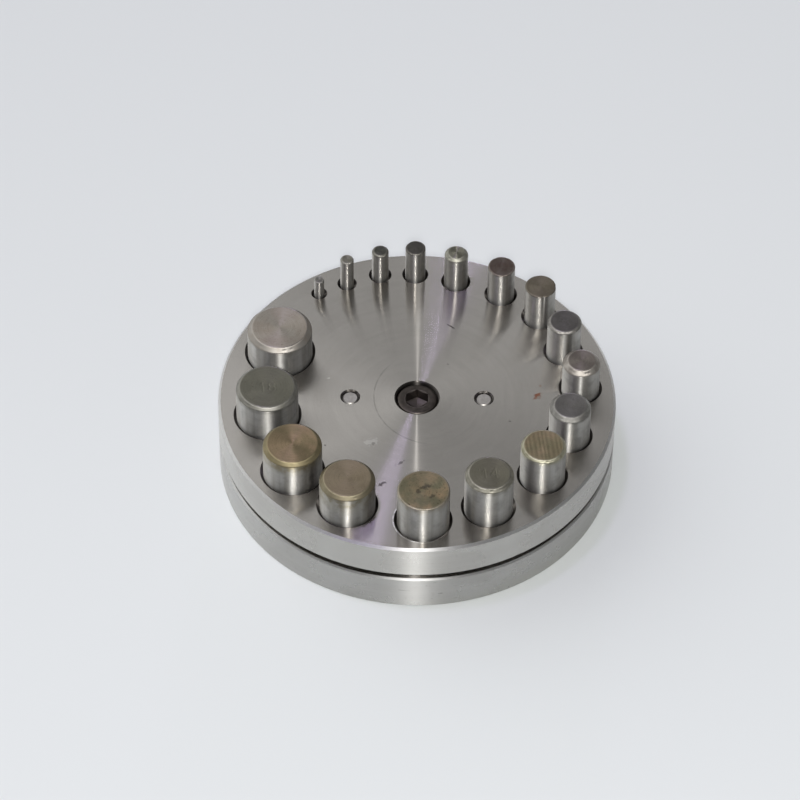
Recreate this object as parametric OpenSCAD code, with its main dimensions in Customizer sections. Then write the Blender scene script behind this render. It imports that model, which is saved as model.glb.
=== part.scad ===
// Jewelers disc cutter, in millimetres.
// Two round steel plates are clamped a sheet's thickness apart, and a graded set
// of punches stands in holes round the rim. A sheet goes into the slot between the
// plates, and a hammer blow on a punch shears a disc out of it.
// Z = 0 is the bench that the cutter stands on, and the plates' axis is X = Y = 0.

/* [Plates] */
// Diameter of both plates
plate_d = 116; // [110:0.5:130]
// Thickness of the guide plate, the upper one
guide_t = 11.2; // [10:0.1:16]
// Thickness of the die plate, the lower one
die_t = 11.6; // [10:0.1:16]
// Height of the slot between the plates, for the sheet metal
slot_h = 2; // [1:0.1:3.5]
// Bevel on the guide plate's top rim
guide_bevel = 0.7; // [0.2:0.1:1.2]
// Bevel on the die plate's top rim
die_bevel = 0.5; // [0.2:0.1:1.2]
// Edge break on the lower rim of both plates
edge_break = 0.3; // [0.1:0.1:0.8]

/* [Punches] */
// Diameter of the smallest punch
first_d = 3; // [2.5:0.1:3.5]
// Growth in diameter from each punch to the next
step_d = 1; // [0.85:0.05:1.05]

/* [Punch holes] */
// Gap all round a punch in the guide plate
guide_gap = 0.05; // [0.02:0.01:0.1]
// Gap all round a punch in its die
die_gap = 0.04; // [0.02:0.01:0.1]
// Bevel round the mouth of each hole in the guide plate
mouth_bevel = 0.85; // [0.2:0.05:1.2]
// Depth of the straight cutting wall at the top of each die
die_land = 5; // [2:0.5:8]
// How much wider each die is, all round, below its cutting wall
die_relief = 0.6; // [0.2:0.1:1]

/* [Clamp screw] */
// Diameter over the thread
screw_d = 7.94; // [6:0.02:8.5]
// Length of thread that grips the die plate
thread_grip = 8; // [5:0.5:9.5]
// Gap all round the thread in the die plate, where its crests are drawn plain
thread_gap = 0.03; // [0.01:0.01:0.1]
// Gap all round the shank in the guide plate and the spacer
shank_gap = 0.3; // [0.1:0.05:0.6]
// Bevel on the end of the thread
thread_point = 1; // [0.4:0.1:1.5]
// Diameter of the head
head_d = 11.9; // [10.5:0.1:13]
// Height of the head
head_h = 7.9; // [6:0.1:8.5]
// Bevel round the top of the head
head_bevel = 0.7; // [0.2:0.1:1]
// Gap all round the head in its counterbore
head_gap = 0.4; // [0.2:0.05:0.8]
// Depth of the head's top below the guide plate's face
head_sink = 0.5; // [0:0.1:0.8]
// Bevel round the mouth of the counterbore
counterbore_bevel = 0.3; // [0.1:0.05:0.8]
// Width of the hex socket across its flats
socket_af = 6.35; // [4:0.05:7]
// Depth of the hex socket
socket_depth = 4.2; // [2:0.1:5]
// Width of the bevel round the mouth of the hex socket
socket_bevel = 0.3; // [0.1:0.05:0.5]

/* [Dowels and spacer] */
// Diameter of the two dowels that line the plates up
dowel_d = 5; // [4:0.1:6]
// Distance of each dowel from the plates' axis
dowel_offset = 19.5; // [17.5:0.1:24]
// Depth of each dowel's ends below the outer faces of the plates
dowel_sink = 0.4; // [0.2:0.1:1]
// Bevel on each end of a dowel
dowel_bevel = 0.5; // [0.2:0.1:1]
// Gap all round a dowel in the guide plate, which lifts off
dowel_gap = 0.02; // [0.01:0.01:0.1]
// Bevel round the mouth of each dowel hole
dowel_mouth = 0.4; // [0.2:0.1:0.8]
// Space between the spacer's rim and each dowel
spacer_space = 2; // [1:0.5:5]
// Bevel on the edges of the spacer
spacer_bevel = 0.2; // [0.1:0.05:0.4]

/* [Hidden] */
// The drilling chart, smallest hole first. The real plate was marked out by hand,
// so the holes run clockwise round it a little unevenly.
// Angle of each hole in degrees, anticlockwise from +X as seen from above
hole_angle = [125.5, 115, 103, 91, 76.5, 59.5, 42.5, 24, 5.5,
              -17.5, -39, -63.5, -87.5, -115.5, -141, -170.5, -203.5];
// Metal left between each hole and the plate's rim
rim_wall = [5.8, 5.8, 5, 5.4, 6.2, 5.4, 4.6, 6, 4.6,
            5.8, 5, 4.8, 3.8, 4.4, 3.8, 5, 4.4];
// Height of each punch above the guide plate, since each was cut off by eye
stand_up = [6, 10.5, 10.5, 11.5, 12.5, 12, 13, 13, 12,
            13, 13, 14.5, 13, 11.5, 12, 12, 10.5];
// Bevel on the struck end of each punch
top_bevel = [0.2, 0.3, 0.5, 0.3, 1, 0.2, 0.2, 0.7, 1.4,
             1.3, 0.8, 1.1, 0.3, 1.2, 1.2, 1, 1.4];

punches = [0 : len(hole_angle) - 1];
function punch_d(i) = first_d + i * step_d;
function hole_r(i) = plate_d / 2 - rim_wall[i] - punch_d(i) / 2;

// Heights above the bench
guide_z = die_t + slot_h;
stack_h = guide_z + guide_t;
head_top_z = stack_h - head_sink;
head_seat_z = head_top_z - head_h;
thread_end_z = die_t - thread_grip;

spacer_d = 2 * (dowel_offset - dowel_d / 2 - spacer_space);
shank_hole_d = screw_d + 2 * shank_gap;
counterbore_d = head_d + 2 * head_gap;
tapped_d = screw_d + 2 * thread_gap;

// How far a cutting shape runs past the face that it opens
past = 1;
$fn = 96;

// Names carry each punch's nominal size, from 3 mm up
function punch_name(i) = str("punch_", i < 7 ? "0" : "", i + 3, "mm");

// A turned disc or pin standing on Z = 0, with its two rims bevelled
module turned(d, h, low_bevel, top_bevel) {
    r = d / 2;
    rotate_extrude() polygon([
        [0, 0], [r - low_bevel, 0], [r, low_bevel],
        [r, h - top_bevel], [r - top_bevel, h], [0, h]
    ]);
}

// A drill of diameter d that runs from below z0 to above z1
module drill(d, z0, z1) {
    translate([0, 0, z0 - past]) cylinder(d = d, h = z1 - z0 + 2 * past);
}

// A countersink that leaves a bevel of that width round a hole of diameter d,
// in a face at height z that looks up
module countersink(d, bevel, z) {
    translate([0, 0, z - bevel]) cylinder(d1 = d, d2 = d + 2 * (bevel + past), h = bevel + past);
}

// Puts its children on the axis of punch i
module at_punch(i) {
    rotate([0, 0, hole_angle[i]]) translate([hole_r(i), 0, 0]) children();
}

// Puts its children on the axis of each dowel
module at_dowels() {
    for (side = [-1, 1]) translate([side * dowel_offset, 0, 0]) children();
}

// Guides the punches: a close hole for each, a counterbore for the clamp screw's
// head, and two holes that slip over the dowels
module guide_plate() {
    color("#8f8b87") difference() {
        translate([0, 0, guide_z]) turned(plate_d, guide_t, edge_break, guide_bevel);
        for (i = punches) at_punch(i) {
            bore_d = punch_d(i) + 2 * guide_gap;
            drill(bore_d, guide_z, stack_h);
            countersink(bore_d, mouth_bevel, stack_h);
        }
        drill(shank_hole_d, guide_z, stack_h);
        translate([0, 0, head_seat_z]) cylinder(d = counterbore_d, h = stack_h - head_seat_z + past);
        countersink(counterbore_d, counterbore_bevel, stack_h);
        at_dowels() {
            drill(dowel_d + 2 * dowel_gap, guide_z, stack_h);
            countersink(dowel_d + 2 * dowel_gap, dowel_mouth, stack_h);
        }
    }
}

// Carries the dies: each has a straight cutting wall whose top edge shears the
// sheet, and opens out below so that the disc drops free
module die_plate() {
    color("#8a8682") difference() {
        turned(plate_d, die_t, edge_break, die_bevel);
        for (i = punches) at_punch(i) {
            die_d = punch_d(i) + 2 * die_gap;
            drill(die_d, 0, die_t);
            translate([0, 0, -past]) cylinder(d = die_d + 2 * die_relief, h = die_t - die_land + past);
        }
        drill(tapped_d, 0, die_t);
        at_dowels() drill(dowel_d, 0, die_t);
    }
}

// Holds the plates a sheet's thickness apart round the clamp screw
module spacer_washer() {
    color("#9a9690") translate([0, 0, die_t]) difference() {
        turned(spacer_d, slot_h, spacer_bevel, spacer_bevel);
        drill(shank_hole_d, 0, slot_h);
    }
}

// Socket-head screw that clamps the plates on the spacer, turned in one piece
module cap_screw() {
    color("#2b2926") difference() {
        rotate_extrude() polygon([
            [0, thread_end_z], [screw_d / 2 - thread_point, thread_end_z],
            [screw_d / 2, thread_end_z + thread_point], [screw_d / 2, head_seat_z],
            [head_d / 2, head_seat_z], [head_d / 2, head_top_z - head_bevel],
            [head_d / 2 - head_bevel, head_top_z], [0, head_top_z]
        ]);
        translate([0, 0, head_top_z - socket_depth]) rotate([0, 0, 30])
            cylinder(d = socket_af / cos(30), h = socket_depth + past, $fn = 6);
        countersink(socket_af, socket_bevel, head_top_z);
    }
}

// Hardened pin, pressed into the die plate and a slip fit in the guide plate
module dowel(side) {
    color("#a8a39c") translate([side * dowel_offset, 0, dowel_sink])
        turned(dowel_d, stack_h - 2 * dowel_sink, dowel_bevel, dowel_bevel);
}

// Round punch that stands on the bench through both plates: the lower edge is
// sharp and cuts, and the upper end takes the hammer
module punch(i) {
    color("#a59f96") at_punch(i) turned(punch_d(i), stack_h + stand_up[i], 0, top_bevel[i]);
}

guide_plate();
die_plate();
spacer_washer();
cap_screw();
dowel(-1);  // dowel_left
dowel(1);  // dowel_right
for (i = punches) punch(i);
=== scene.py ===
import math

import bpy
import numpy as np
from mathutils import Matrix, Vector


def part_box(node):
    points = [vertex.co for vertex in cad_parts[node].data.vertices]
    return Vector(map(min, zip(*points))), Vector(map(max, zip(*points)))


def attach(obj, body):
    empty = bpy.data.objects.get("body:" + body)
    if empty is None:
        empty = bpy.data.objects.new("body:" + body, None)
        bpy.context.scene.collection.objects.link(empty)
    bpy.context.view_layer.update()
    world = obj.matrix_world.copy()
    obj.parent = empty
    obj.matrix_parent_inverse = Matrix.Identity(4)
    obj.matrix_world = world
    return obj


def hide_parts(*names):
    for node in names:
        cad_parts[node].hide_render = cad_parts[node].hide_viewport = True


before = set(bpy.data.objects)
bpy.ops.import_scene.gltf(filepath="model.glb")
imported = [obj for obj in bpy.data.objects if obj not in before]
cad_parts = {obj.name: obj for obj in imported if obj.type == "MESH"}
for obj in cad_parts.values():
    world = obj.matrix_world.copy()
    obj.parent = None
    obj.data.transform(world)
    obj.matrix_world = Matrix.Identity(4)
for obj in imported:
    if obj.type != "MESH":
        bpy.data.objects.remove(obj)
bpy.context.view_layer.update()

# ------------------------------------------------------------------ camera
# The photograph was taken with a long lens from in front and above, and the camera
# leaned a little to one side. Its distance and aim are real ones, in metres.
camera_elevation = math.radians(48.137)
camera_lean = math.radians(0.698)
camera_distance = 1.2642
camera_aim = Vector((-0.00497, 0.02118, 0.0))

camera = bpy.data.objects.new("camera", bpy.data.cameras.new("camera"))
camera.data.lens = 190.0
camera.data.sensor_width = 36.0
towards_camera = Vector((0.0, -math.cos(camera_elevation), math.sin(camera_elevation)))
camera.matrix_world = (
    Matrix.Translation(camera_aim + towards_camera * camera_distance)
    @ Matrix.Rotation(math.pi / 2 - camera_elevation, 4, "X")
    @ Matrix.Rotation(camera_lean, 4, "Z")
)
bpy.context.scene.collection.objects.link(camera)
bpy.context.scene.camera = camera
bpy.context.scene.view_settings.view_transform = "Standard"


# ------------------------------------------------------------------ studio light
# Turned steel shows the room more than itself: a pale one, brightest on the left and
# darker behind the camera and up on the right. A flash by the camera and two lilac
# lamps draw bright streaks across the plates' rings.
def add_node(tree, kind, inputs=(), **settings):
    """A new shader node. Each input is given a value, or another node's output."""
    made = tree.nodes.new("ShaderNode" + kind)
    for name, value in settings.items():
        setattr(made, name, value)
    for key, value in dict(inputs).items():
        if isinstance(value, bpy.types.NodeSocket):
            tree.links.new(value, made.inputs[key])
        else:
            made.inputs[key].default_value = value
    return made


def reckon(tree, operation, *values):
    """The result of one Math node, such as DIVIDE or MAXIMUM."""
    return add_node(tree, "Math", dict(enumerate(values)), operation=operation).outputs[0]


def plus(tree, first, second):
    """The sum of two values."""
    return reckon(tree, "ADD", first, second)


def vector_of(tree, operation, *values):
    """The result of one Vector Math node: a vector, or a number where it gives one."""
    made = add_node(tree, "VectorMath", dict(enumerate(values)), operation=operation)
    return made.outputs["Value" if operation in ("LENGTH", "DOT_PRODUCT") else "Vector"]


def ramp(tree, value, start, end, low=0.0, high=1.0):
    """A smooth step from low to high as value goes from start to end."""
    inputs = {"Value": value, "From Min": start, "From Max": end, "To Min": low, "To Max": high}
    return add_node(tree, "MapRange", inputs, interpolation_type="SMOOTHSTEP").outputs["Result"]


world = bpy.data.worlds.new("studio")
bpy.context.scene.world = world
world.use_nodes = True
sky = world.node_tree
sky.nodes.clear()
look = add_node(sky, "TexCoord").outputs["Generated"]


def glow(direction, half_angle, soft_angle, amount):
    """A soft round patch of the room, amount brighter or darker than the rest. The
    angles are those of its core and of its soft edge, in degrees."""
    facing = vector_of(sky, "DOT_PRODUCT", look, Vector(direction).normalized())
    edge = math.cos(math.radians(half_angle + soft_angle))
    core = math.cos(math.radians(half_angle))
    return ramp(sky, facing, edge, core, 0.0, amount)


room_level = 0.58
darkest_level = 0.05
room_colour = (0.97, 0.985, 1.0, 1)
room_glows = [
    ((-0.74, 0.42, 0.5), 10, 40, 0.93),   # the bright side, on the left
    ((0.7, 0.3, 0.6), 10, 40, -0.38),     # up on the right
    ((0.1, 0.15, 0.97), 5, 30, -0.1),     # overhead
    ((0.0, -0.8, 0.6), 25, 35, -0.4),     # behind the camera
]
level = room_level
for room_glow in room_glows:
    level = plus(sky, level, glow(*room_glow))
level = reckon(sky, "MAXIMUM", level, darkest_level)
air = add_node(sky, "Background", {"Color": room_colour, "Strength": level})
add_node(sky, "OutputWorld", {"Surface": air.outputs[0]})


def lamp(name, place, size, power, colour=(1, 1, 1)):
    """A flat rectangular lamp that faces the cutter."""
    data = bpy.data.lights.new(name, "AREA")
    data.shape = "RECTANGLE"
    data.size, data.size_y = size
    data.energy = power
    data.color = colour
    made = bpy.data.objects.new(name, data)
    made.location = place
    made.rotation_euler = (-Vector(place)).to_track_quat("-Z", "Y").to_euler()
    bpy.context.scene.collection.objects.link(made)


lilac = (0.72, 0.62, 1.0)
lamp("flash_by_camera", (0, -1.0, 1.19), size=(0.054, 0.24), power=13.5)
lamp("ceiling_lamp", (-0.24, 0.05, 1.5), size=(0.16, 0.16), power=2.5, colour=lilac)
lamp("lamp_at_the_back", (0.12, 1.48, 0.22), size=(0.15, 0.1), power=1.3, colour=lilac)

# ------------------------------------------------------------------ bench
# A plain pale bench top that the cutter stands on. It isn't part of the cutter: it takes
# the shadow, and it gives the picture its pale background.
bench_half = 3.0
bench_mesh = bpy.data.meshes.new("bench")
corners = [(-bench_half, -bench_half, 0), (bench_half, -bench_half, 0),
           (bench_half, bench_half, 0), (-bench_half, bench_half, 0)]
bench_mesh.from_pydata(corners, [], [(0, 1, 2, 3)])
bench = bpy.data.objects.new("bench", bench_mesh)
bpy.context.scene.collection.objects.link(bench)
bench_paint = bpy.data.materials.new("bench_paint")
bench_paint.use_nodes = True
shader = bench_paint.node_tree.nodes["Principled BSDF"]
shader.inputs["Base Color"].default_value = (0.72, 0.742, 0.73, 1)
shader.inputs["Roughness"].default_value = 0.7
bench_mesh.materials.append(bench_paint)

# ------------------------------------------------------------------ die plate
# The lower plate is a disc of tool steel, faced and turned on a lathe, so fine rings run
# round it and its reflections spread along each radius. Each punch hole in it is a die,
# and the clamp screw's thread grips in its middle.
mm = 0.001


def minus(tree, first, second):
    """The first value less the second."""
    return reckon(tree, "SUBTRACT", first, second)


def times(tree, first, second):
    """The product of two values. Of two masks, it is where both hold."""
    return reckon(tree, "MULTIPLY", first, second)


def scaled(tree, value, amount):
    """A vector or a colour multiplied by one number."""
    return add_node(tree, "VectorMath", {0: value, "Scale": amount}, operation="SCALE").outputs["Vector"]


def parts_of(tree, vector):
    """The X, Y and Z of a vector, by name."""
    return add_node(tree, "SeparateXYZ", {0: vector}).outputs


def vector_from(tree, x=0.0, y=0.0, z=0.0):
    """A vector made of its parts."""
    return add_node(tree, "CombineXYZ", {"X": x, "Y": y, "Z": z}).outputs[0]


def noise_at(tree, where, scale, detail, roughness=0.5):
    """Smooth noise from 0 to 1 at a place, finer as the scale goes up."""
    inputs = {"Vector": where, "Scale": scale, "Detail": detail, "Roughness": roughness}
    return add_node(tree, "TexNoise", inputs).outputs["Fac"]


def blend(tree, share, below, above):
    """Mixes two colours, or two outputs, by a mask."""
    inputs = {"Factor": share, 6: below, 7: above}
    return add_node(tree, "Mix", inputs, data_type="RGBA").outputs[2]


def start_group(name, inputs, outputs):
    """A new shader node group with named sockets. Gives back its tree, the values
    that it is given, and the node that takes its results."""
    group = bpy.data.node_groups.new(name, "ShaderNodeTree")
    for title, kind, value in inputs:
        socket = group.interface.new_socket(name=title, in_out="INPUT", socket_type="NodeSocket" + kind)
        socket.default_value = value
    for title in outputs:
        group.interface.new_socket(name=title, in_out="OUTPUT", socket_type="NodeSocketFloat")
    return group, group.nodes.new("NodeGroupInput").outputs, group.nodes.new("NodeGroupOutput")


def use_group(tree, group, **inputs):
    """Places a node group in a material and gives back its outputs."""
    return add_node(tree, "Group", inputs, node_tree=group).outputs


# Rings that a lathe tool leaves: they change quickly along a radius or up the side, and
# hardly at all round the axis
turned_grain, given, result = start_group(
    "turned_grain",
    [("Point", "Vector", (0, 0, 0)), ("Pitch", "Float", 0.3 * mm), ("Drift", "Float", 1.5),
     ("Depth", "Float", 0.005 * mm), ("Lean", "Float", 0.0)],
    ["Rings", "Bands", "Radius", "Relief"],
)
flat = vector_of(turned_grain, "MULTIPLY", given["Point"], (1, 1, 0))
radius = vector_of(turned_grain, "LENGTH", flat)
drift = scaled(turned_grain, vector_of(turned_grain, "NORMALIZE", flat), given["Drift"])
height = parts_of(turned_grain, given["Point"])["Z"]
along = reckon(turned_grain, "DIVIDE", plus(turned_grain, radius, height), given["Pitch"])
grain_results = {"Radius": radius}
for title, rate, detail in (("Rings", 1.0, 3.0), ("Bands", 0.06, 2.0)):
    lift = vector_from(turned_grain, z=times(turned_grain, along, rate))
    where = vector_of(turned_grain, "ADD", drift, lift)
    grain_results[title] = noise_at(turned_grain, where, 1.0, detail, 0.6)
# The relief in metres: soft rings, on flanks that the tool left leaning outwards
relief = times(turned_grain, grain_results["Rings"], given["Depth"])
grain_results["Relief"] = minus(turned_grain, relief, times(turned_grain, radius, given["Lean"]))
for title, value in grain_results.items():
    turned_grain.links.new(value, result.inputs[title])

# Patches of tarnish, oil or handling: a mask from 0 to 1, and the noise that it is cut from
patches, given, result = start_group(
    "patches",
    [("Point", "Vector", (0, 0, 0)), ("Size", "Float", 5 * mm), ("Cover", "Float", 0.5),
     ("Soft", "Float", 0.1), ("Place", "Float", 0.0)],
    ["Mask", "Tone"],
)
where = scaled(patches, given["Point"], reckon(patches, "DIVIDE", 1.0, given["Size"]))
shift = vector_from(patches, given["Place"], given["Place"], given["Place"])
tone = noise_at(patches, vector_of(patches, "ADD", where, shift), 1.0, 5.0, 0.55)
threshold = minus(patches, 1.0, given["Cover"])
start = minus(patches, threshold, given["Soft"])
end = plus(patches, threshold, given["Soft"])
patches.links.new(ramp(patches, tone, start, end), result.inputs["Mask"])
patches.links.new(tone, result.inputs["Tone"])

# One small mark of a given length, width and direction, with an uneven outline
mark, given, result = start_group(
    "mark",
    [("Point", "Vector", (0, 0, 0)), ("Centre", "Vector", (0, 0, 0)), ("Length", "Float", 2 * mm),
     ("Width", "Float", 1 * mm), ("Angle", "Float", 0.0), ("Uneven", "Float", 0.5)],
    ["Mask"],
)
offset = vector_of(mark, "SUBTRACT", given["Point"], given["Centre"])
aligned = add_node(mark, "VectorRotate", {"Vector": offset, "Angle": given["Angle"]},
                   rotation_type="Z_AXIS", invert=True).outputs[0]
parts = parts_of(mark, aligned)
lengthwise = reckon(mark, "DIVIDE", parts["X"], given["Length"])
across = reckon(mark, "DIVIDE", parts["Y"], given["Width"])
far = vector_of(mark, "LENGTH", vector_from(mark, lengthwise, across))
wobble = minus(mark, noise_at(mark, given["Point"], 1100.0, 2.0), 0.5)
wobble = times(mark, wobble, given["Uneven"])
far = plus(mark, times(mark, far, 2.0), times(mark, wobble, 3.0))
mark.links.new(ramp(mark, far, 1.2, 0.6), result.inputs["Mask"])


def start_metal(name, anisotropy, roughness):
    """A bare metal whose polish runs in rings about the piece's own upright axis. Gives
    back the material, its tree, its shader and the point on the piece."""
    made = bpy.data.materials.new(name)
    made.use_nodes = True
    tree = made.node_tree
    shader = tree.nodes["Principled BSDF"]
    shader.inputs["Metallic"].default_value = 1.0
    shader.inputs["Roughness"].default_value = roughness
    shader.inputs["Anisotropic"].default_value = anisotropy
    shader.inputs["Anisotropic Rotation"].default_value = 0.25
    around = add_node(tree, "Tangent", direction_type="RADIAL", axis="Z").outputs[0]
    tree.links.new(around, shader.inputs["Tangent"])
    return made, tree, shader, add_node(tree, "TexCoord").outputs["Object"]


def facing_up(tree):
    """How far the surface looks up: 1 on a level face and 0 on an upright wall."""
    return parts_of(tree, add_node(tree, "NewGeometry").outputs["Normal"])["Z"]


def press(tree, shader, relief):
    """Gives a metal a relief whose height is in metres."""
    bump = add_node(tree, "Bump", {"Height": relief, "Distance": 1.0, "Filter Width": 0.01})
    tree.links.new(bump.outputs[0], shader.inputs["Normal"])
    return bump.outputs[0]


def dress(node, material):
    """Gives a CAD node that material in its material slot."""
    node.data.materials.clear()
    node.data.materials.append(material)


def plate_steel(name, rim_steel, high, marks, scribed_and_highlight_lines, gripped_at):
    """Faced and turned plate whose top is at height high. It has its own marks, scribed lines
    and painted highlight lines on the face, and scratches where its rim is gripped, at that bearing."""
    made, tree, shader, point = start_metal(name, 1.0, 0.3)
    face_steel = (0.455, 0.43, 0.4, 1)
    bevel_highlight_steel = (0.78, 0.77, 0.75, 1)
    stained_steel = (0.33, 0.31, 0.28, 1)
    scratched_steel = (0.16, 0.15, 0.135, 1)
    oil_and_painted_shade = (0.05, 0.042, 0.036, 1)
    upward = facing_up(tree)
    grain = use_group(tree, turned_grain, Point=point, Pitch=0.14 * mm, Drift=1.2, Depth=0.008 * mm,
                      Lean=0.05)
    # Where on the plate: its top face, its outer rim, the bevel on that, or inside a hole
    face = ramp(tree, upward, 0.95, 0.99)
    rim = ramp(tree, grain["Radius"], 57.2 * mm, 57.3 * mm)
    bevel = reckon(tree, "ABSOLUTE", minus(tree, upward, 0.7))
    bevel = times(tree, ramp(tree, bevel, 0.25, 0.2), rim)
    hole = times(tree, minus(tree, 1.0, rim), ramp(tree, upward, 0.95, 0.9))
    hole = times(tree, hole, ramp(tree, upward, -0.95, -0.9))

    colour = blend(tree, face, (*rim_steel, 1), face_steel)
    # A painted highlight: the bevel round the rim is painted much lighter than the face.
    colour = blend(tree, bevel, colour, bevel_highlight_steel)
    cloud = use_group(tree, patches, Point=point, Size=16 * mm, Cover=0.5, Soft=0.25)
    colour = blend(tree, times(tree, cloud["Mask"], 0.22), colour, stained_steel)
    speckle = use_group(tree, patches, Point=point, Size=1.1 * mm, Cover=0.37, Soft=0.06, Place=4.0)
    colour = blend(tree, times(tree, speckle["Mask"], 0.16), colour, stained_steel)
    fine = ramp(tree, grain["Rings"], 0.25, 0.75, 0.97, 1.03)
    broad = ramp(tree, grain["Bands"], 0.3, 0.7, 0.98, 1.02)
    colour = scaled(tree, colour, times(tree, fine, broad))
    for title, x, y, length, width, angle, strength, stain in marks:
        spot = use_group(tree, mark, Point=point, Centre=(x * mm, y * mm, high), Length=length * mm,
                         Width=width * mm, Angle=math.radians(angle), Uneven=1.1)["Mask"]
        spot.node.label = title
        share = times(tree, times(tree, spot, strength), face)
        colour = blend(tree, share, colour, (*stain, 1))

    # Scratches along the rim, mostly where the plate is gripped
    parts = parts_of(tree, point)
    bearing = reckon(tree, "ARCTAN2", parts["Y"], parts["X"])
    unrolled = vector_from(tree, times(tree, bearing, 12.0), times(tree, parts["Z"], 1400.0))
    scratch = ramp(tree, noise_at(tree, unrolled, 1.0, 3.0), 0.66, 0.72, 0.0, 0.6)
    gripped = reckon(tree, "ABSOLUTE", minus(tree, bearing, gripped_at))
    gripped = times(tree, ramp(tree, gripped, 0.4, 0.1, 0.12, 1.0), rim)
    colour = blend(tree, times(tree, scratch, gripped), colour, scratched_steel)

    # Scribed lines and painted highlight lines, each one fading away to the right and to the back
    for title, x, y, radius, fades_from, strength, tint in scribed_and_highlight_lines:
        spoke = vector_of(tree, "SUBTRACT", point, (x * mm, y * mm, high))
        miss = reckon(tree, "ABSOLUTE", minus(tree, vector_of(tree, "LENGTH", spoke), radius * mm))
        line = ramp(tree, miss, 0.3 * mm, 0.08 * mm)
        line.node.label = title
        side = parts_of(tree, spoke)
        line = times(tree, line, ramp(tree, side["X"], (fades_from + 6) * mm, fades_from * mm))
        line = times(tree, line, ramp(tree, side["Y"], radius * 0.8 * mm, radius * 0.4 * mm))
        broken = ramp(tree, speckle["Tone"], 0.35, 0.6, 0.35, 1.0)
        line = times(tree, times(tree, line, broken), face)
        colour = blend(tree, times(tree, line, strength), colour, (*tint, 1))
    # Inside the holes the colour is painted almost black: oil and filings, and painted shade.
    colour = blend(tree, times(tree, hole, 0.92), colour, oil_and_painted_shade)
    tree.links.new(colour, shader.inputs["Base Color"])

    rough = ramp(tree, cloud["Tone"], 0.3, 0.7, 0.16, 0.19)
    for place, rougher in ((rim, 0.1), (bevel, 0.3), (hole, 0.3)):
        rough = plus(tree, rough, times(tree, place, rougher))
    tree.links.new(rough, shader.inputs["Roughness"])
    normal = press(tree, shader, grain["Relief"])

    # The feed marks' own walls throw a thin streak of light along each radius
    streak_share = 0.15
    streak_rough = plus(tree, 0.23, times(tree, reckon(tree, "MAXIMUM", rim, bevel), 0.4))
    streak = {"Color": colour, "Roughness": streak_rough, "Anisotropy": 0.85, "Normal": normal,
              "Tangent": shader.inputs["Tangent"].links[0].from_socket}
    streak = add_node(tree, "BsdfAnisotropic", streak, distribution="GGX").outputs[0]
    both = add_node(tree, "MixShader", {0: streak_share, 1: shader.outputs[0], 2: streak}).outputs[0]
    tree.links.new(both, tree.nodes["Material Output"].inputs["Surface"])
    return made


die_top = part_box("die_plate")[1][2]
dress(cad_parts["die_plate"],
      plate_steel("die_plate_steel", (0.54, 0.535, 0.515), die_top, marks=[], scribed_and_highlight_lines=[],
                  gripped_at=math.radians(-84)))

# ------------------------------------------------------------------ dowels
# Two hardened steel pins that line the plates up. They are pressed into the die plate and
# slip into the guide plate, where their dull ends show.
dowel_steel, tree, shader, point = start_metal("dowel_steel", 0.0, 0.45)
tarnish = use_group(tree, patches, Point=point, Size=1.2 * mm, Cover=0.5, Soft=0.3)["Mask"]
clean_dowel = (0.5, 0.48, 0.45, 1)
tarnished_dowel = (0.36, 0.34, 0.31, 1)
colour = blend(tree, tarnish, clean_dowel, tarnished_dowel)
tree.links.new(colour, shader.inputs["Base Color"])
for side in ("left", "right"):
    dress(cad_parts["dowel_" + side], dowel_steel)

# ------------------------------------------------------------------ spacer
# A ground steel washer round the clamp screw. It keeps the plates a sheet's thickness
# apart, and it is seen only through the slot.
spacer_steel, tree, shader, point = start_metal("spacer_steel", 0.7, 0.35)
rings = use_group(tree, turned_grain, Point=point, Pitch=0.1 * mm, Drift=1.0)["Rings"]
ring_valley = (0.4, 0.39, 0.37, 1)
ring_crest = (0.55, 0.54, 0.52, 1)
colour = blend(tree, rings, ring_valley, ring_crest)
tree.links.new(colour, shader.inputs["Base Color"])
dress(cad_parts["spacer_washer"], spacer_steel)

# ------------------------------------------------------------------ guide plate
# The upper plate is the same steel, turned in the same way. Its holes are drilled and
# countersunk, and their walls are painted almost black: oil and filings, and painted shade.
# Use has left rust spots, pits, scratches and a scuff on its face.
rust = (0.3, 0.1, 0.045)
dirt = (0.06, 0.05, 0.045)
bright = (0.8, 0.78, 0.75)
guide_marks = [
    # what it is, x, y, length, width in mm, angle in degrees, strength, colour
    ("rust_spot", 35.3, 1.1, 2.8, 1.9, 30, 0.85, rust),
    ("clean_core_of_rust", 35.6, 0.7, 1.6, 1.0, 30, 0.8, (0.4, 0.37, 0.33)),
    ("rust_fleck", 35.9, 5.1, 1.0, 0.6, 80, 0.5, rust),
    ("deep_scratch", 10.2, 28.2, 2.6, 0.45, -38, 0.8, dirt),
    ("pit_by_screw", 9.0, 13.3, 0.6, 0.5, 0, 0.5, dirt),
    ("pit_in_front", -9.8, -33.5, 2.0, 1.2, 35, 0.8, dirt),
    ("fleck_in_front", -4.7, -25.4, 2.6, 0.8, 35, 0.6, dirt),
    ("scuff_on_the_left", -13.3, -17.6, 3.8, 2.6, 20, 0.28, bright),
    ("dirt_in_the_scuff", -12.6, -18.2, 1.6, 1.0, 60, 0.4, dirt),
    ("nick_on_the_left", -26.1, 7.2, 1.1, 0.35, 10, 0.6, bright),
    ("pit_on_the_left", -26.5, -18.9, 0.6, 0.5, 0, 0.7, dirt),
    ("pit_on_the_right", 27.0, -8.8, 0.7, 0.5, 0, 0.5, dirt),
]
guide_lines = [
    # what it is, x, y, radius and how far right of x it starts to fade in mm, strength, colour
    ("arc_round_the_screw", 6.1, 0.5, 18.7, -7.0, 0.5, (0.2, 0.19, 0.175)),
    # A painted highlight: the light line where the countersink of the 15 mm hole catches the light
    ("highlight_on_the_15mm_hole_mouth", 2.0, -46.7, 8.55, -1.0, 0.9, (0.9, 0.89, 0.86)),
]
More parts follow.
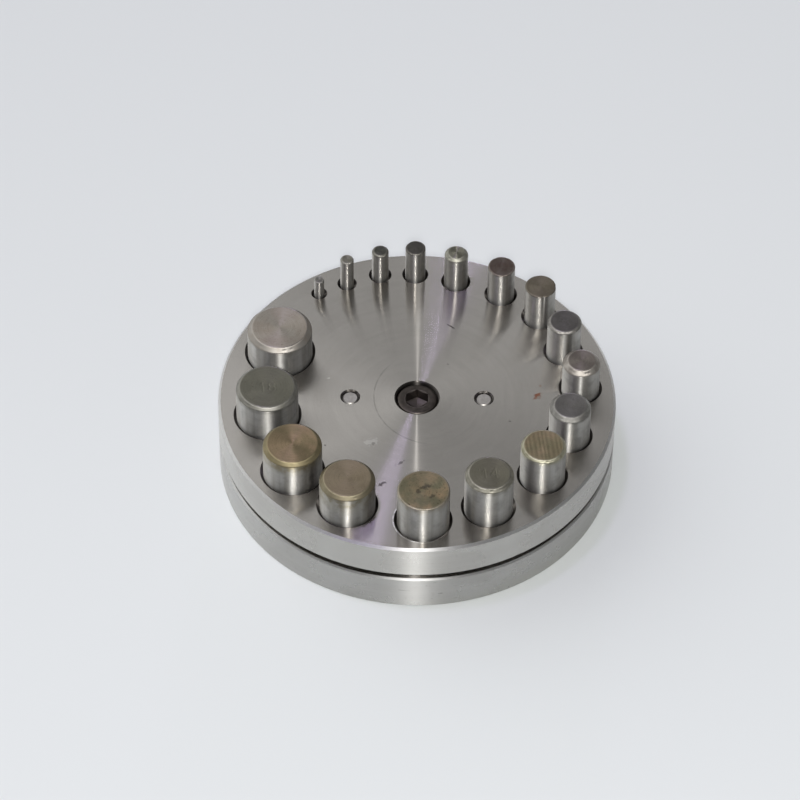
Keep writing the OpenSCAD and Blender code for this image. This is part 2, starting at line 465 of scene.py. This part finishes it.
guide_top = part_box("guide_plate")[1][2]
dress(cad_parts["guide_plate"],
      plate_steel("guide_plate_steel", (0.6, 0.59, 0.56), guide_top, marks=guide_marks,
                  scribed_and_highlight_lines=guide_lines, gripped_at=math.radians(-52)))


# ------------------------------------------------------------------ clamp screw
# A socket-head cap screw of blackened steel, sunk in the guide plate. Its head is forged,
# so the top edge is round, the side is knurled, and the hex socket ends in a drill point.
def softened(outline, radius, steps=4):
    """An outline of (distance from the axis, height) with its inner corners rounded."""
    made = [outline[0]]
    for before, corner, after in zip(outline, outline[1:], outline[2:]):
        before, corner, after = (np.array(p, float) for p in (before, corner, after))
        back, ahead = before - corner, after - corner
        reach = min(radius, np.linalg.norm(back) * 0.45, np.linalg.norm(ahead) * 0.45)
        start = corner + back / np.linalg.norm(back) * reach
        end = corner + ahead / np.linalg.norm(ahead) * reach
        for share in np.linspace(0, 1, steps + 1):
            made.append(tuple((1 - share) ** 2 * start + 2 * share * (1 - share) * corner + share**2 * end))
    made.append(outline[-1])
    return made


def divided(outline, step):
    """The same outline with no stretch longer than step."""
    made = [outline[0]]
    for before, after in zip(outline, outline[1:]):
        count = max(1, math.ceil(math.dist(before, after) / step))
        before, after = np.array(before), np.array(after)
        made += [tuple(before + (after - before) * i / count) for i in range(1, count + 1)]
    return made


def skin(name, rings):
    """A closed mesh over rings of points, from the middle of one end to the other."""
    count = len(rings[0])
    points = [rings[0].mean(axis=0), *np.concatenate(rings), rings[-1].mean(axis=0)]
    last = len(points) - 1
    faces = [(0, 1 + (i + 1) % count, 1 + i) for i in range(count)]
    for ring in range(len(rings) - 1):
        low, high = 1 + ring * count, 1 + (ring + 1) * count
        faces += [(low + i, low + (i + 1) % count, high + (i + 1) % count, high + i) for i in range(count)]
    top = 1 + (len(rings) - 1) * count
    faces += [(last, top + i, top + (i + 1) % count) for i in range(count)]
    mesh = bpy.data.meshes.new(name)
    mesh.from_pydata([tuple(p) for p in points], [], faces)
    mesh.shade_smooth()
    return mesh


# Sizes in millimetres
box_low, box_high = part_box("cap_screw")
head_top = box_high[2] / mm
thread_end = box_low[2] / mm
head_radius = box_high[0] / mm
head_underside = 16.5
screw_radius = 3.97
thread_pitch = 1.411
thread_depth = 0.75
thread_top = 12.6
knurl_lines = 72
knurl_depth = 0.1
socket_half = 3.175
socket_bevel = 0.3
socket_depth = 3.4

bearings = np.linspace(0, 2 * math.pi, 288, endpoint=False)
outline = [(1.0, thread_end), (2.9, thread_end), (screw_radius, thread_end + 1.1),
           (screw_radius, head_underside), (head_radius - 0.4, head_underside),
           (head_radius, head_underside + 0.4), (head_radius, head_top - 0.9),
           (head_radius - 0.35, head_top - 0.15), (head_radius - 1.0, head_top), (4.2, head_top)]
rings = []
for reach, level in divided(softened(outline, 0.3), 0.15):
    reach = np.full(bearings.shape, reach)
    if level < thread_top:
        # One thread in each pitch, rising as it goes round
        rise = (level / thread_pitch - bearings / (2 * math.pi)) % 1.0
        groove = np.clip(1.3 * np.abs(rise - 0.5) * 2 - 0.15, 0, 1)
        reach -= thread_depth * groove * (reach / screw_radius)
    if head_underside + 0.9 < level < head_top - 1.2:
        reach -= knurl_depth * (0.5 + 0.5 * np.cos(bearings * knurl_lines))
    rings.append((reach, level))
# Down the socket's bevelled walls, and then down the drill point at its end
hex_wall = socket_half / np.cos((bearings + math.pi / 6) % (math.pi / 3) - math.pi / 6)
for depth in (0.0, 0.1, 0.2, 0.3, 0.6, 1.2, 2.0, 2.8, socket_depth):
    rings.append((np.maximum(hex_wall, socket_half + socket_bevel - depth), head_top - depth))
for share, depth in ((0.93, 0.1), (0.6, 0.4), (0.25, 0.65)):
    rings.append((hex_wall * share, head_top - socket_depth - depth))
rings = [np.stack([reach * np.cos(bearings), reach * np.sin(bearings), np.full(bearings.shape, level)],
                  axis=1) * mm for reach, level in rings]
screw_mesh = skin("socket_head_screw", rings)
screw_mesh.set_sharp_from_angle(angle=math.radians(35))
screw = bpy.data.objects.new("socket_head_screw", screw_mesh)
bpy.context.scene.collection.objects.link(screw)
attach(screw, "root")
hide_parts("cap_screw")

black_oxide, tree, shader, point = start_metal("black_oxide", 0.2, 0.42)
handling = use_group(tree, patches, Point=point, Size=1.2 * mm, Cover=0.5, Soft=0.3)
radius = use_group(tree, turned_grain, Point=point, Pitch=0.1 * mm)["Radius"]
full_oxide = (0.05, 0.043, 0.038, 1)
handled_oxide = (0.085, 0.073, 0.064, 1)
rubbed_oxide = (0.115, 0.1, 0.09, 1)
worn_edge = (0.16, 0.14, 0.12, 1)
colour = blend(tree, handling["Mask"], full_oxide, handled_oxide)
# Keys have rubbed the oxide thin inside the socket, and use has worn the head's edge
in_socket = ramp(tree, radius, 3.75 * mm, 3.5 * mm)
colour = blend(tree, in_socket, colour, rubbed_oxide)
on_edge = times(tree, ramp(tree, facing_up(tree), 0.97, 0.8), ramp(tree, radius, 4.4 * mm, 4.8 * mm))
colour = blend(tree, times(tree, on_edge, 0.6), colour, worn_edge)
tree.links.new(colour, shader.inputs["Base Color"])
tree.links.new(ramp(tree, handling["Tone"], 0.3, 0.7, 0.38, 0.52), shader.inputs["Roughness"])
screw_mesh.materials.append(black_oxide)


# ------------------------------------------------------------------ punches
# Seventeen round punches of hardened tool steel, ground on the outside and sharp below.
# The upper end was parted off, faced and bevelled by hand, and hammering has left it
# dull, dented and brown. Two carry their size in plain numbers.
def loop(x, y, radius):
    """Points round a circle."""
    return [(x + radius * math.cos(math.radians(a)), y + radius * math.sin(math.radians(a)))
            for a in np.linspace(0, 360, 17)]


# Strokes of each number on a stamp 1 high, from its own lower left corner
digit_strokes = {
    "1": [[(0.12, 0.78), (0.32, 1.0), (0.32, 0.0)]],
    "4": [[(0.45, 0.0), (0.45, 1.0), (0.0, 0.3), (0.62, 0.3)]],
    "8": [loop(0.3, 0.74, 0.24), loop(0.3, 0.27, 0.27)],
}


def stamped(number, height, turned_by):
    """The strokes of a stamped number, centred, in millimetres and degrees."""
    advance = 0.8
    width = advance * len(number) - (advance - 0.6)
    strokes = []
    for place, digit in enumerate(number):
        for stroke in digit_strokes[digit]:
            shifted = [((x + place * advance - width / 2) * height, (y - 0.5) * height) for x, y in stroke]
            c, s = math.cos(math.radians(turned_by)), math.sin(math.radians(turned_by))
            strokes.append([(x * c - y * s, x * s + y * c) for x, y in shifted])
    return strokes


def distance_to_strokes(x, y, strokes):
    """How far each point (x, y) is from the nearest stroke."""
    nearest = np.full(x.shape, 1e3)
    for stroke in strokes:
        for (x0, y0), (x1, y1) in zip(stroke, stroke[1:]):
            dx, dy = x1 - x0, y1 - y0
            share = np.clip(((x - x0) * dx + (y - y0) * dy) / (dx * dx + dy * dy), 0, 1)
            nearest = np.minimum(nearest, np.hypot(x - x0 - share * dx, y - y0 - share * dy))
    return nearest


def punch_mesh(size, height, bevel, faced, number):
    """One punch, from sizes in millimetres: a sharp lower edge, straight sides, a bevel
    whose edges are worn round, and an upper face with tool marks, dents and perhaps a
    number. Its marks are drawn at random, the same ones each time for a size."""
    draw = np.random.default_rng(size)
    radius = size / 2
    worn = min(0.3, 0.35 * bevel + 0.05)
    outline = [(0.1, 0), (radius, 0), (radius, height - bevel), (radius - bevel, height), (0.04, height)]
    foot = divided(softened(outline[:3], 0.03, 2)[:-1], 1.5)
    side = [(radius, height * share) for share in (0.25, 0.5, 0.75)]
    crown = divided(softened(outline[1:], worn, 5)[1:], 0.1 + 0.002 * size)

    nicks = [(draw.uniform(0, 2 * math.pi), draw.uniform(0.2, 0.55), draw.uniform(0.03, 0.1))
             for _ in range(round(3 + size / 2))]
    blows = [(*(draw.normal(0, radius * 0.4, 2)), draw.uniform(0.6, 1.4), draw.uniform(0.01, 0.035))
             for _ in range(round(2 + size / 3))]
    pits = [(*(draw.normal(0, radius * 0.4, 2)), draw.uniform(0.1, 0.22), draw.uniform(0.03, 0.07))
            for _ in range(10 if faced == "pitted" else 2)]
    facing_pitch, facing_depth, saw_depth = 0.42, 0.007, 0.03
    stamp_depth, stamp_stroke, stamp_turn = 0.045, 0.2, 6
    stamp_height = min(3.3, size * 0.24)
    strokes = stamped(number, stamp_height, stamp_turn) if number else []

    bearings = np.linspace(0, 2 * math.pi, 144, endpoint=False)
    rings = []
    for reach, level in foot + side + crown:
        x, y = reach * np.cos(bearings), reach * np.sin(bearings)
        z = np.full(bearings.shape, float(level))
        if level > height - bevel - 0.5:
            for angle, spread, depth in nicks:
                nick_x = (radius - bevel * 0.4) * math.cos(angle)
                nick_y = (radius - bevel * 0.4) * math.sin(angle)
                far = (x - nick_x) ** 2 + (y - nick_y) ** 2 + (z - height + bevel * 0.4) ** 2
                dent = depth * np.exp(-far / (2 * spread**2 * 0.25))
                x, y, z = x - dent * math.cos(angle), y - dent * math.sin(angle), z - dent * 0.8
        top = np.clip((level - height + 0.05) / 0.05, 0, 1)
        if top > 0:
            if faced == "sawn":
                across = x * math.cos(0.12) + y * math.sin(0.12)
                z -= top * saw_depth * (0.5 + 0.5 * np.sin(across * 5.2 + 0.8 * np.sin(across * 1.3)))
            else:
                z -= top * facing_depth * (0.5 - 0.5 * np.cos(reach * 2 * math.pi / facing_pitch))
            for hit_x, hit_y, spread, depth in blows + pits:
                z -= top * depth * np.exp(-((x - hit_x) ** 2 + (y - hit_y) ** 2) / (2 * spread**2))
            if strokes:
                z -= top * stamp_depth * np.exp(-(distance_to_strokes(x, y, strokes) / stamp_stroke) ** 2)
        rings.append(np.stack([x, y, z], axis=1) * mm)
    return skin("punch", rings)


# For each size: its bevel in mm, how the struck end was finished, the number stamped on
# it, how strongly its facing rings draw the light out, the colours of its top, of the
# patches and painted reflection wedges on that and of its bevel, and how far down the side
# the stain runs in mm
heads = {
    3: (0.2, "faced", "", 0.5, (0.26, 0.25, 0.23), (0.14, 0.13, 0.12), (0.36, 0.345, 0.32), 0.4),
    4: (0.3, "faced", "", 0.6, (0.23, 0.22, 0.18), (0.14, 0.13, 0.11), (0.36, 0.345, 0.31), 1.0),
    5: (0.5, "faced", "", 0.4, (0.1, 0.1, 0.085), (0.06, 0.058, 0.05), (0.24, 0.23, 0.2), 0.6),
    6: (0.3, "faced", "", 0.4, (0.095, 0.09, 0.08), (0.062, 0.058, 0.05), (0.18, 0.17, 0.15), 0.6),
    7: (1.0, "faced", "", 0.95, (0.25, 0.24, 0.19), (0.14, 0.135, 0.11), (0.34, 0.33, 0.28), 0.6),
    8: (0.2, "faced", "", 0.3, (0.13, 0.11, 0.094), (0.09, 0.062, 0.052), (0.26, 0.23, 0.2), 0.6),
    9: (0.2, "faced", "", 0.4, (0.19, 0.165, 0.125), (0.14, 0.12, 0.09), (0.17, 0.15, 0.12), 0.6),
    10: (0.7, "faced", "", 0.3, (0.14, 0.132, 0.126), (0.105, 0.097, 0.092), (0.3, 0.285, 0.26), 0.6),
    11: (1.4, "faced", "", 0.6, (0.22, 0.195, 0.17), (0.165, 0.14, 0.125), (0.4, 0.37, 0.33), 0.6),
    12: (1.3, "faced", "", 0.3, (0.17, 0.162, 0.15), (0.135, 0.128, 0.12), (0.3, 0.29, 0.265), 0.6),
    13: (0.8, "sawn", "", 0.3, (0.28, 0.22, 0.14), (0.2, 0.18, 0.11), (0.42, 0.4, 0.3), 1.6),
    14: (1.1, "faced", "14", 0.3, (0.19, 0.178, 0.135), (0.145, 0.136, 0.104), (0.3, 0.285, 0.24), 1.6),
    15: (0.3, "pitted", "", 0.4, (0.35, 0.26, 0.16), (0.18, 0.165, 0.105), (0.36, 0.32, 0.26), 2.4),
    16: (1.2, "faced", "", 0.4, (0.285, 0.235, 0.165), (0.225, 0.18, 0.12), (0.26, 0.23, 0.155), 7.0),
    17: (1.2, "faced", "", 0.7, (0.3, 0.22, 0.14), (0.2, 0.165, 0.095), (0.29, 0.245, 0.145), 4.4),
    18: (1.0, "faced", "18", 0.3, (0.182, 0.175, 0.137), (0.146, 0.142, 0.112), (0.27, 0.26, 0.23), 1.6),
    19: (1.4, "faced", "", 0.6, (0.39, 0.355, 0.305), (0.32, 0.27, 0.225), (0.36, 0.335, 0.3), 1.0),
}


def ground_side(size, height, bevel, edge, stain):
    """The ground side, streaked along its length by use, smeared with oil and stained near
    the struck end."""
    clean_steel = (0.51, 0.5, 0.475, 1)
    streaked_steel = (0.39, 0.375, 0.345, 1)
    oil_and_painted_shade = (0.2, 0.19, 0.17, 1)
    polish, drag = (0.45, 1.0) if size > 10 else (0.44, 0.92)
    made, tree, shader, point = start_metal(f"ground_side_{size:02d}mm", drag, polish)
    grain = use_group(tree, turned_grain, Point=point, Pitch=0.2 * mm, Drift=0.8, Depth=0.0015 * mm)
    streaks = noise_at(tree, vector_of(tree, "MULTIPLY", point, (520.0, 520.0, 20.0)), 1.0, 3.0)
    colour = blend(tree, ramp(tree, streaks, 0.35, 0.7), clean_steel, streaked_steel)
    smear = use_group(tree, patches, Point=point, Size=2.5 * mm, Cover=0.42, Soft=0.12, Place=size * 1.7)
    colour = blend(tree, times(tree, smear["Mask"], 0.28), colour, oil_and_painted_shade)
    stained = ramp(tree, parts_of(tree, point)["Z"], (height - bevel - stain) * mm, (height - bevel) * mm)
    stained = times(tree, stained, ramp(tree, smear["Tone"], 0.3, 0.65, 0.3, 1.0))
    colour = blend(tree, times(tree, stained, 0.85), colour, (*edge, 1))
    fine = ramp(tree, grain["Rings"], 0.25, 0.75, 0.95, 1.04)
    tree.links.new(scaled(tree, colour, fine), shader.inputs["Base Color"])
    rough = ramp(tree, smear["Tone"], 0.35, 0.65, polish - 0.03, polish + 0.04)
    tree.links.new(rough, shader.inputs["Roughness"])
    press(tree, shader, grain["Relief"])
    return made


def filed_bevel(size, patch, edge):
    """The bevel round the struck end, filed across its edge and darkened with handling."""
    made, tree, shader, point = start_metal(f"filed_bevel_{size:02d}mm", 0.8, 0.48)
    shader.inputs["Anisotropic Rotation"].default_value = 0.0
    cloud = use_group(tree, patches, Point=point, Size=(0.8 + size * 0.1) * mm, Cover=0.5, Soft=0.15,
                      Place=size * 4.3)
    colour = blend(tree, times(tree, cloud["Mask"], 0.45), (*edge, 1), (*patch, 1))
    tree.links.new(colour, shader.inputs["Base Color"])
    tree.links.new(ramp(tree, cloud["Tone"], 0.3, 0.7, 0.45, 0.52), shader.inputs["Roughness"])
    press(tree, shader, times(tree, noise_at(tree, point, 4000.0, 2.0), 0.004 * mm))
    return made


def struck_end(size, shine, pitted, top, patch, edge, bevel):
    """The hammered upper face: dull and stained in patches, with wedges from the middle that
    are a painted reflection of the lathe's facing cut, and a thin lip that handling keeps bright."""
    ingrained = (0.05, 0.042, 0.035, 1)
    patchy = 1.0 if pitted else 0.7
    # How large the dark flecks are in mm, and also how strong
    fleck_size = 0.8 if pitted else 0.4
    made, tree, shader, point = start_metal(f"struck_end_{size:02d}mm", shine, 0.42)
    grain = use_group(tree, turned_grain, Point=point, Pitch=0.22 * mm, Drift=0.7, Depth=0.01 * mm)
    cloud = use_group(tree, patches, Point=point, Size=(1.0 + size * 0.22) * mm, Cover=0.47, Soft=0.14,
                      Place=size * 3.1)["Mask"]
    colour = blend(tree, times(tree, cloud, patchy), (*top, 1), (*patch, 1))
    # Wedges radiating from the middle: a painted reflection of the facing cut's sheen
    bearing = vector_of(tree, "NORMALIZE", vector_of(tree, "MULTIPLY", point, (1, 1, 0)))
    painted_reflection_wedge = use_group(tree, patches, Point=bearing, Size=1.3, Cover=0.5, Soft=0.1, Place=size * 1.9)["Mask"]
    colour = blend(tree, times(tree, painted_reflection_wedge, 0.45), colour, (*patch, 1))
    fleck = use_group(tree, patches, Point=point, Size=fleck_size * mm, Cover=0.34, Soft=0.07,
                      Place=size * 0.7)
    colour = blend(tree, times(tree, fleck["Mask"], fleck_size), colour, ingrained)
    # Each large dark pit: x, y and length in mm, and its angle
    large_pits = [(0.2, 1.0, 3.0, 0.3), (2.4, -2.2, 2.4, 1.1), (-1.6, -0.4, 1.6, 2.2)]
    for x, y, length, angle in large_pits if pitted else []:
        pit = use_group(tree, mark, Point=point, Centre=(x * mm, y * mm, 0), Length=length * mm,
                        Width=1.3 * mm, Angle=angle, Uneven=1.4)["Mask"]
        colour = blend(tree, times(tree, pit, 0.6), colour, ingrained)
    lip = ramp(tree, grain["Radius"], (size / 2 - bevel - 0.45) * mm, (size / 2 - bevel) * mm, 0.0, 0.6)
    colour = blend(tree, lip, colour, (*edge, 1))
    fine = ramp(tree, grain["Rings"], 0.25, 0.75, 0.9, 1.08)
    tree.links.new(scaled(tree, colour, fine), shader.inputs["Base Color"])
    tree.links.new(ramp(tree, fleck["Tone"], 0.3, 0.7, 0.36, 0.5), shader.inputs["Roughness"])
    press(tree, shader, grain["Relief"])
    return made


for size, (bevel, faced, number, shine, top, patch, edge, stain) in heads.items():
    node = f"punch_{size:02d}mm"
    box_low, box_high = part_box(node)
    middle = (box_low + box_high) / 2
    height = (box_high[2] - box_low[2]) / mm
    mesh = punch_mesh(size, height, bevel, faced, number)
    mesh.materials.append(ground_side(size, height, bevel, edge, stain))
    mesh.materials.append(struck_end(size, shine, faced == "pitted", top, patch, edge, bevel))
    mesh.materials.append(filed_bevel(size, patch, edge))
    # The side is the first material, the upper face the second and its bevel the third
    for face in mesh.polygons:
        if face.center.z > (height - bevel) * mm:
            face.material_index = 1 if face.normal.z > 0.9 else 2
    punch = bpy.data.objects.new(f"ground_punch_{size:02d}mm", mesh)
    punch.location = (middle[0], middle[1], box_low[2])
    bpy.context.scene.collection.objects.link(punch)
    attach(punch, node)
    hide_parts(node)
